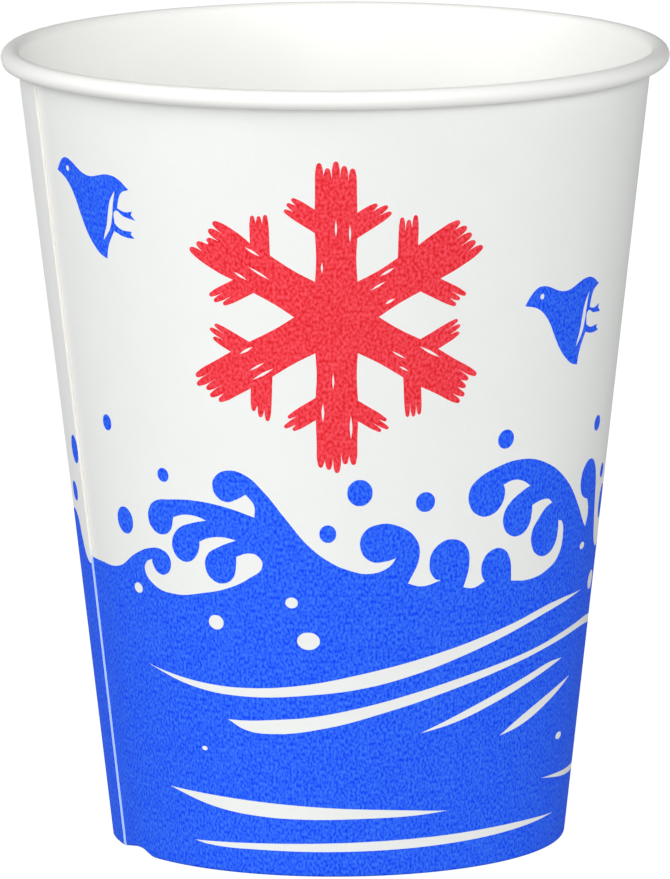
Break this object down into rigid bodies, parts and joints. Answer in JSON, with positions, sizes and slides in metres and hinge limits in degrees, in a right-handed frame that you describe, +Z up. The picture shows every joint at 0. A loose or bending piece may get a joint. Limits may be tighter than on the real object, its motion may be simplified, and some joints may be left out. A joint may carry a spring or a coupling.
{
  "type": "paper cup for shaved ice",
  "caption": "Empty tapered paper cup for shaved ice, with a rolled rim, a lapped side seam and a recessed base, printed with waves, spray and birds.",
  "frame": {"origin": "middle of the foot, on the table", "axes": "+Z up along the axis of the cup, -Y towards the front of the print, the side seam on the -X side"},
  "size_m": [0.09, 0.09, 0.108],
  "materials": {
    "printed_board": "matt uncoated outside with printed ink, smooth coated inside",
    "coated_board": "smooth, thin clear coating"
  },
  "bodies": {
    "root": {"cup_wall": "printed_board", "cup_base": "coated_board"}
  },
  "joints": []
}
